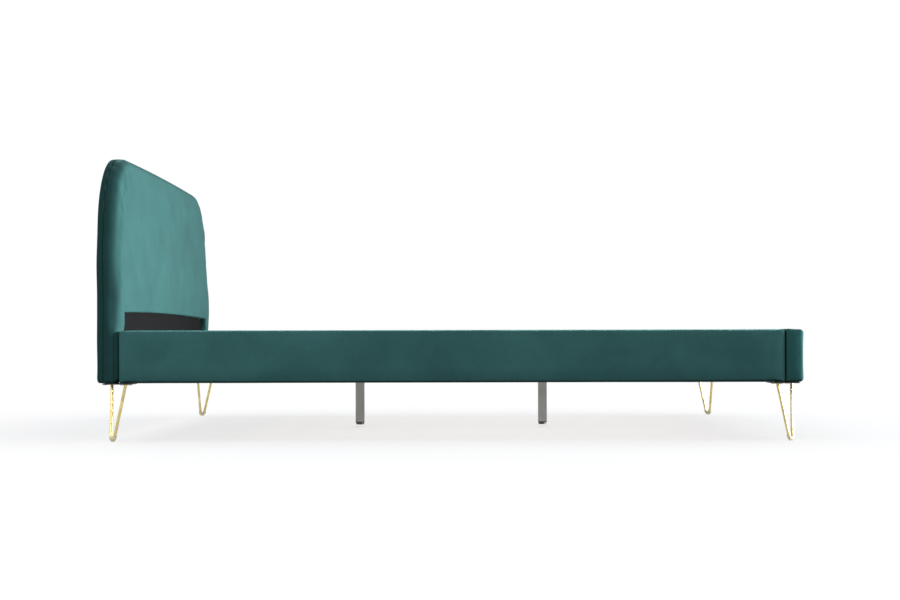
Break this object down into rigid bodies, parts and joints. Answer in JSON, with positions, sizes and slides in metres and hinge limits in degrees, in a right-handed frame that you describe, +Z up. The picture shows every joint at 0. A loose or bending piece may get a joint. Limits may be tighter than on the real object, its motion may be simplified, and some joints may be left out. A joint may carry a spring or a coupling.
{
  "type": "upholstered headboard bed",
  "caption": "Double bed frame with a rounded velvet headboard, padded side and foot rails, sprung slats, a centre beam on levelling legs and hairpin corner legs.",
  "frame": {"origin": "on the floor, at the bottom centre of the whole bed's bounding box", "axes": "+X from the headboard to the foot, +Y to the left of a sleeper lying on their back, +Z up"},
  "size_m": [2.134, 1.6, 0.8848],
  "materials": {
    "velvet": "short-pile velvet, dark teal",
    "padding": "open-cell foam and wadding",
    "black_cloth": "spun-bonded non-woven dust cloth",
    "pine": "planed softwood",
    "plywood": "plywood",
    "birch": "laminated birch, lacquered",
    "black_plastic": "moulded, fine texture",
    "zinc_steel": "bright zinc plate",
    "black_steel": "black powder coat",
    "grey_steel": "grey powder coat",
    "brass_rod": "satin, pale gold",
    "clear_plastic": "translucent moulded plastic"
  },
  "bodies": {
    "bed_frame": {"headboard_cover": "velvet", "headboard_back_cover": "velvet", "foot_rail_cover": "velvet", "side_rail_cover_right": "velvet", "side_rail_cover_left": "velvet", "headboard_foam": "padding", "foot_rail_foam": "padding", "side_rail_foam_right": "padding", "side_rail_foam_left": "padding", "headboard_lower_panel": "black_cloth", "foot_rail_lining": "black_cloth", "side_rail_lining_right": "black_cloth", "side_rail_lining_left": "black_cloth", "headboard_bottom_rail": "pine", "headboard_mid_rail": "pine", "headboard_top_rail": "pine", "headboard_stiles": "pine", "headboard_post_right": "pine", "headboard_post_left": "pine", "slat_ledge_right": "pine", "slat_ledge_left": "pine", "headboard_face_board": "plywood", "foot_rail_board": "plywood", "side_rail_board_right": "plywood", "side_rail_board_left": "plywood", "slats_left": "birch", "slats_right": "birch", "slat_side_caps": "black_plastic", "slat_centre_caps": "black_plastic", "support_leg_plug_head": "black_plastic", "support_leg_plug_foot": "black_plastic", "bracket_bolts": "zinc_steel", "threaded_inserts": "zinc_steel", "centre_support_bolts": "zinc_steel", "leg_plate_screws": "zinc_steel", "corner_bracket_head_right": "black_steel", "corner_bracket_head_left": "black_steel", "corner_bracket_foot_right": "black_steel", "corner_bracket_foot_left": "black_steel", "beam_bracket_head": "black_steel", "beam_bracket_foot": "black_steel", "centre_beam": "grey_steel", "support_leg_head": "grey_steel", "support_leg_foot": "grey_steel", "hairpin_leg_head_right": "brass_rod", "hairpin_leg_head_left": "brass_rod", "hairpin_leg_foot_right": "brass_rod", "hairpin_leg_foot_left": "brass_rod", "leg_plate_head_right": "black_steel", "leg_plate_head_left": "black_steel", "leg_plate_foot_right": "black_steel", "leg_plate_foot_left": "black_steel", "floor_protector_head_right": "clear_plastic", "floor_protector_head_left": "clear_plastic", "floor_protector_foot_right": "clear_plastic", "floor_protector_foot_left": "clear_plastic"},
    "head_glide_pad": {"levelling_pad_head": "black_plastic"},
    "head_glide_stem": {"levelling_stem_head": "zinc_steel"},
    "foot_glide_pad": {"levelling_pad_foot": "black_plastic"},
    "foot_glide_stem": {"levelling_stem_foot": "zinc_steel"}
  },
  "joints": [
    {"name": "head_glide_drop", "type": "slide", "parent": "bed_frame", "child": "head_glide_pad", "axis": [0, 0, -1], "range_m": [0, 0.008]},
    {"name": "head_glide_turn", "type": "hinge", "parent": "head_glide_pad", "child": "head_glide_stem", "pos_m": [-0.328, 0, 0.03], "axis": [0, 0, 1], "range_deg": [0, 2305]},
    {"name": "foot_glide_drop", "type": "slide", "parent": "bed_frame", "child": "foot_glide_pad", "axis": [0, 0, -1], "range_m": [0, 0.008]},
    {"name": "foot_glide_turn", "type": "hinge", "parent": "foot_glide_pad", "child": "foot_glide_stem", "pos_m": [0.321, 0, 0.03], "axis": [0, 0, 1], "range_deg": [0, 2305]}
  ],
  "couplings": [
    {"joint": "head_glide_turn", "follows": "head_glide_drop", "rad_per_m": 5026.5},
    {"joint": "foot_glide_turn", "follows": "foot_glide_drop", "rad_per_m": 5026.5}
  ]
}
